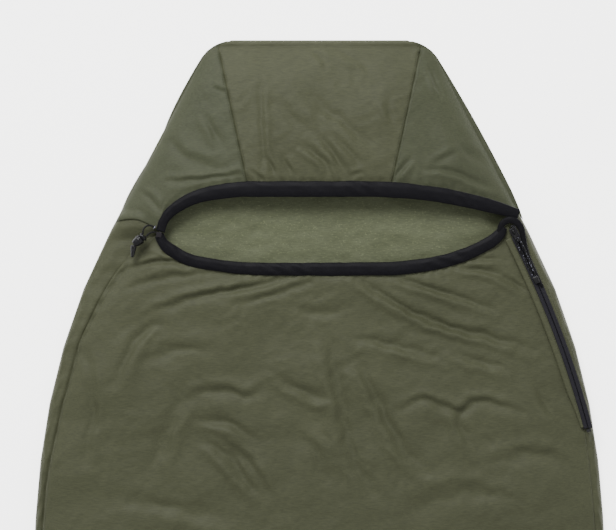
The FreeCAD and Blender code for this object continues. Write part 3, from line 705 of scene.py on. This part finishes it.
def rounded(corners, radius, turns=5):
    """An outline with its corners rounded."""
    out = []
    count = len(corners)
    for i, here in enumerate(corners):
        p, a, b = Vector(here), Vector(corners[i - 1]), Vector(corners[(i + 1) % count])
        r = min(radius, (a - p).length * 0.48, (b - p).length * 0.48)
        start, end = p + (a - p).normalized() * r, p + (b - p).normalized() * r
        for k in range(turns + 1):
            t = k / turns
            out.append(tuple(start * (1 - t) ** 2 + p * 2 * t * (1 - t) + end * t * t))
    return out


def beside_zip(points):
    """Outline points (u, n) on the zip, as (x, y)."""
    return [on_zip(u, n, 0)[:2] for u, n in points]


def slider():
    """Two plates joined by a post between the tapes, with a bridge over the top one."""
    plate = rounded(beside_zip([(-9.6, -3.6), (-7.5, -5.0), (-1, -4.8), (3.6, -3.9), (4, 0),
                                (3.6, 3.9), (-1, 4.8), (-7.5, 5.0), (-9.6, 3.6)]), 1.6)
    top = slab("slider_top", plate, 30.5, 32.0, 0.5)
    low = slab("slider_low", plate, 24.5, 25.9, 0.5)
    divider = rounded(beside_zip([(-9.2, -1.6), (-6.6, -0.4), (-6.6, 0.4), (-9.2, 1.6)]), 0.6)
    post = slab("slider_post", divider, 25.6, 31.0, 0.2)
    arch_line = smooth_path([on_zip(-7.2, 0, 31.6), on_zip(-6.8, 0, 34.2), on_zip(-5.2, 0, 35.6),
                             on_zip(-2.6, 0, 35.6), on_zip(-0.4, 0, 34.0), on_zip(0.4, 0, 31.6)], 0.5)
    arch = sweep("slider_arch", arch_line, oval(1.2, 0.75, 10))
    return join("zip_slider", [top, low, post, arch])


def pull_tab():
    leaf = slab("tab_leaf", rounded(beside_zip([(-1.6, -2.6), (10.5, -3.2), (12.4, -1.6), (12.4, 1.6),
                                                (10.5, 3.2), (-1.6, 2.6)]), 1.0), 32.6, 33.6, 0.35)
    eye_line = [on_zip(-3.0 + 1.9 * math.cos(a), 0, 34.4 + 1.7 * math.sin(a))
                for a in np.linspace(-2.9, 2.0, 18)]
    eye = sweep("tab_eye", np.array(eye_line), oval(1.5, 0.45, 8))
    post = lathe("tab_post", Vector(on_zip(9.9, 0, 33.2)), Vector((0, 0, 1)),
                 [(0, 0), (0, 1.2), (3.4, 1.2), (3.9, 1.9), (4.4, 1.8), (4.6, 0)], 20)
    return join("zip_pull_tab", [leaf, eye, post])


def lathe(name, start, way, profile, sides=40, ribs=None):
    """A turned body from (along, radius) pairs.  ribs(along, angle) changes the radius."""
    way = way.normalized()
    across = Vector((0, 0, 1)).cross(way)
    across = across.normalized() if across.length > 0.1 else Vector((1, 0, 0))
    up = way.cross(across)
    points = []
    for s, r in profile:
        for k in range(sides):
            a = 2 * math.pi * k / sides
            radius = r + (ribs(s, a) if ribs and r > 0.5 else 0)
            points.append(tuple(start + way * s + across * (radius * math.cos(a))
                                + up * (radius * math.sin(a))))
    obj = add_mesh(name, points, tube_faces(len(profile), sides))
    merge = obj.modifiers.new("merge", "WELD")
    merge.merge_threshold = 0.00001
    bake(obj)
    return face_out(obj)


RIM = Vector((-249.5, 795.1, 38.2))                 # middle of the lock's open rim
TAIL = Vector((-0.7847764, -0.6197790, 0.0))        # the way the lock points
zip_slider = slider()
zip_tab = pull_tab()
barrel = lathe("lock_barrel", RIM, TAIL,
               [(4.7, 0), (4.7, 5.5), (0.3, 5.6), (0, 6.0), (0, 6.7), (0.35, 7.15), (0.9, 7.25), (1.7, 7.25),
                (2.2, 7.1), (2.45, 6.75), (2.75, 6.75), (3.0, 7.05), (3.5, 7.2), (4.5, 7.15), (5.0, 6.95),
                (5.3, 6.5), (5.8, 6.45), (7.4, 6.35), (9.2, 6.0), (10.8, 5.5), (12.0, 5.1), (12.7, 4.8),
                (13.0, 4.3), (12.8, 3.9), (11.2, 3.7), (10.6, 0)], 56,
               lambda s, a: -0.14 * max(0.0, math.sin(8 * a)) ** 2 if s > 5.6 else 0.0)
plunger = lathe("lock_plunger", RIM, TAIL,
                [(-4.4, 0), (-4.4, 3.4), (-5.0, 3.9), (-5.5, 4.6), (-5.4, 5.6), (-5.0, 6.2), (-4.0, 6.5),
                 (-2.9, 6.6), (-2.4, 6.3), (-2.3, 5.3), (-2.0, 5.2), (1.9, 5.2), (1.9, 0)], 48)
start = Vector(upper_points[0])
away = (Vector(upper_points[1]) - start).normalized()
eyelet = lathe("hood_eyelet", start + away * 1.0, away,
               [(0.2, 1.75), (0, 2.1), (0, 2.7), (0.3, 3.1), (0.8, 3.2), (1.3, 3.1), (1.6, 2.7),
                (1.6, 2.1), (1.4, 1.75), (0.8, 1.6), (0.2, 1.75)], 36)
END_WAY = Vector((math.cos(math.radians(262)), math.sin(math.radians(262)), 0))
cord_end = lathe("cord_end", Vector((-259.7, 785.4, 38.0)), END_WAY,
                 [(0.4, 0), (0.3, 2.6), (0, 3.4), (0.2, 3.9), (0.9, 4.2), (4.6, 4.2), (5.2, 3.7), (5.7, 4.0),
                  (6.6, 3.9), (7.2, 3.4), (7.7, 3.7), (8.6, 3.5), (9.2, 3.0), (9.8, 3.2), (10.8, 3.0),
                  (14.6, 2.3), (16.2, 2.0), (16.8, 1.4), (16.9, 0)], 32)
tab_corner = [(-229.0, 796.8), (-221.2, 796.2), (-220.8, 804.0), (-228.6, 804.6)]
join_tab = slab("binding_tab", rounded(tab_corner, 1.4), 33.0, 34.2, 0.5)
pull_end = slab("pull_cord_end", rounded(beside_zip([(66, -4.2), (76, -3.6), (76, 3.6), (66, 4.2)]), 1.2),
                30.4, 34.4, 0.9)


# ---- stitching
STITCH = ((0, 0.45, -0.28), (0.15, 0.95, 0.0), (0.5, 1.0, 0.10), (0.85, 0.95, 0.0),
          (1, 0.45, -0.28))     # share along, radius, height


def stitches(name, lines, ground, pitch=3.4, long=2.5, radius=0.32, lift=0.05):
    """Rows of thread stitches lying on a cloth."""
    points, faces = [], []
    for line in lines:
        path = smooth_path([(x, y, 0) for x, y in line], pitch)
        for a, b in zip(path, path[1:]):
            way = Vector((b[0] - a[0], b[1] - a[1], 0)).normalized()
            side = Vector((-way.y, way.x, 0))
            ends = [Vector((a[0], a[1], 0)), Vector((a[0], a[1], 0)) + way * long]
            levels = [ground.at(e.x, e.y) for e in ends]
            if None in levels or max(levels) - min(levels) > 2.5:
                continue
            base_at = len(points)
            for share, fat, sink in STITCH:
                mid = ends[0].lerp(ends[1], share)
                level = levels[0] * (1 - share) + levels[1] * share + lift + sink
                for k in range(6):
                    t = k * math.pi / 3
                    points.append(tuple(mid + side * (radius * fat * math.cos(t))
                                        + Vector((0, 0, level + radius * fat * math.sin(t)))))
            faces += tube_faces(5, 6, base_at)
            faces.append(tuple(base_at + k for k in range(5, -1, -1)))
            faces.append(tuple(base_at + 24 + k for k in range(6)))
    return add_mesh(name, points, faces)


def seam_line(x_of_share, offset):
    """A row of stitches beside one of the hood's seams."""
    out = []
    for share in np.linspace(0.03, 0.93, 24):
        x = float(x_of_share(share))
        opening = float(hood_edge(x))
        out.append((x + offset, HEAD_SEAM - (HEAD_SEAM - opening) * share))
    return out


hood_thread = join("hood_seam_stitches", [
    stitches("a", [seam_line(hood_seam, -3.2), seam_line(lambda s: -hood_seam(s), 3.2)],
             Ground(hood_middle)),
    stitches("b", [seam_line(lambda s: -hood_seam(s), -3.2)], Ground(hood_left)),
    stitches("c", [seam_line(hood_seam, 3.2)], Ground(hood_right))])
zip_line = [on_zip(u, -7.6, 0)[:2] for u in np.linspace(26, 276, 20)]
flap_thread = stitches("flap_stitches", [zip_line], Ground(placket))
left_levels = np.linspace(760, -1020, 90)
side_thread = join("side_seam_stitches", [
    stitches("d", [[(float(left_seam(y)) + 2.6, float(y)) for y in left_levels]], front_ground),
    stitches("e", [[on_zip(u, 10.6, 0)[:2] for u in np.linspace(90, 262, 20)]], Ground(right_side))])


# ---- materials
def srgb(*shade):
    """A colour of 0 to 255 per channel, in the linear values that shaders take."""
    return tuple(((v / 255 + 0.055) / 1.055) ** 2.4 if v > 10 else v / 255 / 12.92 for v in shade) + (1.0,)


def set_inputs(node, **values):
    for socket, value in values.items():
        node.inputs[socket.replace("_", " ")].default_value = value


class Finish:
    """A node material built step by step."""

    def __init__(self, name, roughness, metallic=0.0, sheen=0.0, specular=0.12):
        self.material = bpy.data.materials.new(name)
        self.material.use_nodes = True
        self.tree = self.material.node_tree
        self.tree.nodes.clear()
        out = self.add("ShaderNodeOutputMaterial")
        self.shader = self.add("ShaderNodeBsdfPrincipled")
        self.link(self.shader.outputs[0], out.inputs[0])
        set_inputs(self.shader, Roughness=roughness, Metallic=metallic, Sheen_Weight=sheen,
                   Sheen_Roughness=0.4, Specular_IOR_Level=specular)
        self.place = self.add("ShaderNodeTexCoord").outputs["Object"]
        self.bump_from = None

    def add(self, kind):
        return self.tree.nodes.new(kind)

    def link(self, a, b):
        self.tree.links.new(a, b)

    def noise(self, scale, detail=2.0, rough=0.5):
        """Noise with its own scale along each axis, per metre."""
        node = self.add("ShaderNodeTexNoise")
        set_inputs(node, Scale=1.0, Detail=detail, Roughness=rough)
        mapping = self.add("ShaderNodeMapping")
        set_inputs(mapping, Scale=scale)
        self.link(self.place, mapping.inputs["Vector"])
        self.link(mapping.outputs[0], node.inputs["Vector"])
        return node.outputs["Fac"]

    def waves(self, direction, per_metre):
        node = self.add("ShaderNodeTexWave")
        node.bands_direction = direction
        set_inputs(node, Scale=per_metre / 20 * 2 * math.pi, Distortion=0.6, Detail=1.0)
        self.link(self.place, node.inputs["Vector"])
        return node.outputs["Fac"]

    def ramp(self, value, stops):
        node = self.add("ShaderNodeValToRGB")
        ramp = node.color_ramp
        while len(ramp.elements) < len(stops):
            ramp.elements.new(0.5)
        for element, (at, colour) in zip(ramp.elements, stops):
            element.position = at
            element.color = colour
        self.link(value, node.inputs[0])
        return node.outputs[0]

    def mix(self, a, b, factor, kind="MIX"):
        node = self.add("ShaderNodeMix")
        node.data_type = "RGBA"
        node.blend_type = kind
        if isinstance(factor, float):
            node.inputs[0].default_value = factor
        else:
            self.link(factor, node.inputs[0])
        self.link(a, node.inputs[6])
        if isinstance(b, tuple):
            node.inputs[7].default_value = b
        else:
            self.link(b, node.inputs[7])
        return node.outputs[2]

    def weave(self, one, other, per_metre):
        """Waves in two directions, multiplied."""
        node = self.add("ShaderNodeMath")
        node.operation = "MULTIPLY"
        for socket, direction in zip(node.inputs, (one, other)):
            self.link(self.waves(direction, per_metre), socket)
        return node.outputs[0]

    def colour(self, value):
        self.link(value, self.shader.inputs["Base Color"])

    def rough(self, value, low, high):
        self.link(self.ramp(value, greys(low, high)), self.shader.inputs["Roughness"])

    def bump(self, height, distance, strength=1.0):
        node = self.add("ShaderNodeBump")
        set_inputs(node, Distance=distance, Strength=strength)
        self.link(height, node.inputs["Height"])
        if self.bump_from is not None:
            self.link(self.bump_from, node.inputs["Normal"])
        self.bump_from = node.outputs[0]
        self.link(self.bump_from, self.shader.inputs["Normal"])


def greys(low, high):
    return [(0.0, (low, low, low, 1)), (1.0, (high, high, high, 1))]


def shades(shade, dark_at, dark, light_at, light):
    """Ramp stops from a darker to a lighter shade of one colour."""
    return [(at, srgb(*(c * times for c in shade))) for at, times in ((dark_at, dark), (light_at, light))]


def cloth_finish(name, shade, flecks=0.0):
    """Plain-weave nylon: fine threads, short streaks along the weft and soft unevenness."""
    f = Finish(name, 0.62, sheen=0.02)
    streak = f.noise((110, 900, 900), 2.0, 0.6)
    broken = f.noise((600, 1100, 1100), 2.0, 0.6)
    broad = f.noise((9, 9, 9), 3.0, 0.55)
    tone = f.ramp(streak, shades(shade, 0.30, 0.91, 0.70, 1.09))
    tone = f.mix(tone, f.ramp(broken, greys(0.35, 0.65)), 0.30, "SOFT_LIGHT")
    tone = f.mix(tone, f.ramp(broad, greys(0.42, 0.58)), 0.8, "OVERLAY")
    if flecks:
        spots = f.noise((300, 520, 500), 2.0, 0.7)
        tone = f.mix(tone, srgb(*(c * 1.45 for c in shade)),
                     f.ramp(spots, [(0.60, (0, 0, 0, 1)), (0.68, (flecks,) * 3 + (1,))]))
    f.colour(tone)
    f.rough(broken, 0.52, 0.70)
    f.bump(f.weave("X", "Y", 900), 0.00008, 0.5)
    f.bump(f.noise((90, 160, 120), 3.0, 0.6), 0.0007, 0.5)
    return f.material


def binding_finish(name, shade, per_metre=700):
    """Soft black binding with a twill weave, or a small woven tab."""
    f = Finish(name, 0.6, sheen=0.03, specular=0.06)
    thread = f.noise((700, 700, 700), 2.0, 0.6)
    broad = f.noise((40, 40, 40), 2.0, 0.5)
    tone = f.ramp(thread, shades(shade, 0.35, 0.72, 0.65, 1.25))
    tone = f.mix(tone, f.ramp(broad, greys(0.40, 0.60)), 0.6, "OVERLAY")
    f.colour(tone)
    f.rough(broad, 0.45, 0.62)
    f.bump(f.weave("DIAGONAL", "X", per_metre), 0.00012, 0.6)
    f.bump(f.noise((120, 120, 120), 2.0, 0.6), 0.0006, 0.5)
    return f.material


def tape_finish(name, shade):
    """Woven zip tape: fine ribs across it."""
    f = Finish(name, 0.6, sheen=0.03)
    thread = f.noise((500, 1200, 500), 2.0, 0.6)
    f.colour(f.ramp(thread, shades(shade, 0.3, 0.78, 0.7, 1.2)))
    f.rough(thread, 0.5, 0.7)
    f.bump(f.waves("Y", 1100), 0.00015, 0.6)
    return f.material


def cord_finish(name, shade, flecks):
    """A braided cord, with pale flecks where its sheath has them."""
    f = Finish(name, 0.6, sheen=0.03)
    braid = f.weave("DIAGONAL", "X", 620)
    tone = f.ramp(braid, shades(shade, 0.2, 0.6, 0.8, 1.3))
    if flecks:
        spots = f.noise((420, 420, 420), 1.0, 0.5)
        tone = f.mix(tone, srgb(96, 96, 108),
                     f.ramp(spots, [(0.60, (0, 0, 0, 1)), (0.64, (flecks,) * 3 + (1,))]))
    f.colour(tone)
    f.rough(braid, 0.5, 0.7)
    f.bump(braid, 0.0003, 0.8)
    return f.material


def hard_finish(name, shade, roughness, metallic=0.0):
    """Moulded plastic or metal, with faint unevenness and worn spots."""
    f = Finish(name, roughness, metallic, specular=0.25)
    wear = f.noise((180, 180, 180), 3.0, 0.6)
    f.colour(f.ramp(wear, shades(shade, 0.35, 0.85, 0.7, 1.25)))
    f.rough(wear, max(0.05, roughness - 0.08), roughness + 0.10)
    f.bump(f.noise((900, 900, 900), 2.0, 0.6), 0.00006, 0.4)
    return f.material


finishes = {
    "shell": cloth_finish("shell_nylon", (51, 53, 38)),
    "hood": cloth_finish("hood_nylon", (51, 53, 38)),
    # the hood's side panels: the same nylon a shade darker, as painted shade that tones down the key light
    # on their slopes
    "hood_side": cloth_finish("hood_nylon_painted_shade", (49, 52, 38)),
    # the back panel's lining: partly its own lighter colour with flecks, partly painted light that offsets
    # the shade under the hood
    "inside": cloth_finish("base_nylon", (66, 70, 52), flecks=0.5),
    "binding": binding_finish("binding_tape", (10.5, 10, 13)),
    "loop": binding_finish("loop_tape", (9, 8.5, 11), per_metre=900),
    "tab": binding_finish("grey_tab", (27, 25, 27)),
    "tape": tape_finish("zip_tape", (19, 18, 23)),
    "coil": hard_finish("zip_coil", (16, 16, 17), 0.45),
    "thread": hard_finish("thread", (40, 43, 30), 0.6),
    "dark_thread": hard_finish("dark_thread", (36, 38, 27), 0.6),
    "cord": cord_finish("black_cord", (13, 13, 14), 0.0),
    "fleck": cord_finish("fleck_cord", (11, 11, 13), 0.7),
    "plastic": hard_finish("lock_plastic", (4, 4, 5.5), 0.3),
    "metal": hard_finish("slider_metal", (22, 22, 23), 0.34, metallic=0.6),
    "eyelet": hard_finish("eyelet_metal", (105, 105, 115), 0.3, metallic=0.9),
    "steel": hard_finish("spring_steel", (150, 150, 152), 0.3, metallic=1.0),
}


PAINT = {
    "shell": [front, left_side, right_side, foot, placket],
    "hood": [hood_middle],
    # the side panels take the darker copy of the hood nylon, as painted shade
    "hood_side": [hood_left, hood_right],
    # the base takes the lightened lining colour, partly painted light
    "inside": [base],
    "binding": [hood_band, chin_band],
    "loop": [garage_loop],
    "tape": [front_tape, side_tape],
    "coil": [front_coil, side_coil, nodes["zip_top_stop"], nodes["zip_bottom_stop"]],
    "thread": [hood_thread, side_thread],
    "dark_thread": [flap_thread],
    "cord": [upper_strand, lower_strand, hood_cord],
    "fleck": [pull_cord],
    "plastic": [barrel, plunger, cord_end, pull_end],
    "metal": [zip_slider, zip_tab],
    "eyelet": [eyelet],
    "steel": [nodes["cord_lock_spring"]],
    "tab": [join_tab],
}
for key, pieces in PAINT.items():
    for piece in pieces:
        piece.data.materials.clear()
        piece.data.materials.append(finishes[key])

# ---- what each piece stands for, and what it moves with
RIDES = [
    (left_side, "sack", ["side_gusset_left"], "shell_cloth"),
    (right_side, "sack", ["side_gusset_right"], "shell_cloth"),
    (hood_left, "sack", ["hood_side_panel_left"], "shell_cloth"),
    (hood_middle, "sack", ["hood_centre_panel"], "shell_cloth"),
    (hood_right, "sack", ["hood_side_panel_right"], "shell_cloth"),
    (base, "sack", ["base_panel"], "base_cloth"),
    (foot, "sack", ["foot_panel"], "shell_cloth"),
    (hood_band, "sack", ["hood_binding"], "binding_cloth"),
    (garage_loop, "sack", ["zip_garage", "zip_guard_strip"], "binding_cloth"),
    (hood_cord, "sack", ["drawcord_run"], "cord"),
    (side_tape, "sack", ["zip_tape_side"], "zip_tape"),
    (side_coil, "sack", ["zip_coil_side"], "zip_coil"),
    (eyelet, "sack", ["drawcord_eyelet"], "slider_metal"),
    (cord_end, "sack", ["drawcord_end"], "lock_plastic"),
    (join_tab, "sack", ["binding_join_tab"], "grey_tab"),
    (upper_strand, "sack", ["drawcord_strand_upper"], "cord"),
    (lower_strand, "sack", ["drawcord_strand_lower"], "cord"),
    (hood_thread, "sack", [], "cord"),
    (side_thread, "sack", [], "cord"),
    (zip_slider, "zip_slider", ["zip_slider_body"], "slider_metal"),
    (zip_tab, "zip_pull", ["zip_slider_tab"], "slider_metal"),
    (pull_cord, "zip_pull", ["zip_pull_cord"], "fleck_cord"),
    (pull_end, "zip_pull", ["zip_pull_end"], "lock_plastic"),
    (barrel, "cord_lock", ["cord_lock_barrel"], "lock_plastic"),
    (plunger, "cord_lock_button", ["cord_lock_plunger"], "lock_plastic"),
]
for piece, body, replaced, slot in RIDES:
    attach(piece, body)
    if replaced:
        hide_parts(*replaced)
BLENDS = [
    (front, ["front_panel", "front_panel_flap"], "shell_cloth"),
    (chin_band, ["chin_binding", "chin_binding_corner"], "binding_cloth"),
    (front_tape, ["zip_tape_front"], "zip_tape"),
    (front_coil, ["zip_coil_front"], "zip_coil"),
    (placket, ["zip_placket"], "binding_cloth"),
    (flap_thread, [], "cord"),
]
for piece, replaced, slot in BLENDS:
    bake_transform(piece)
    if replaced:
        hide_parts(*replaced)


# ---- floor and light
def floor():
    x = np.linspace(-9000, 9000, 9)
    points = [(a, b + 300, -0.05) for b in x for a in x]
    faces = [(j * 9 + i, j * 9 + i + 1, j * 9 + i + 10, j * 9 + i + 9) for j in range(8) for i in range(8)]
    obj = add_mesh("floor", points, faces)
    f = Finish("floor_paper", 0.95)
    f.shader.inputs["Specular IOR Level"].default_value = 0.0
    f.colour(f.ramp(f.noise((3, 3, 3)), greys(0.80, 0.81)))
    set_inputs(f.shader, Emission_Color=(1, 1, 0.985, 1), Emission_Strength=2.6)
    obj.data.materials.append(f.material)


def area_light(name, place, target, size, power):
    data = bpy.data.lights.new(name, "AREA")
    data.shape = "DISK"
    data.size = size
    data.energy = power
    lamp = add_object(name, data)
    lamp.location = place
    lamp.rotation_mode = "QUATERNION"
    lamp.rotation_quaternion = (Vector(target) - Vector(place)).to_track_quat("-Z", "Y")


floor()
world = bpy.data.worlds.new("studio")
world.use_nodes = True
set_inputs(world.node_tree.nodes["Background"], Color=(1, 1, 1, 1), Strength=1.05)
bpy.context.scene.world = world
area_light("key_light", (-1.0, 3.3, 3.1), (0, 0.7, 0), 2.2, 330)
area_light("fill_light", (2.6, -0.6, 2.8), (0, 0.6, 0), 2.0, 30)
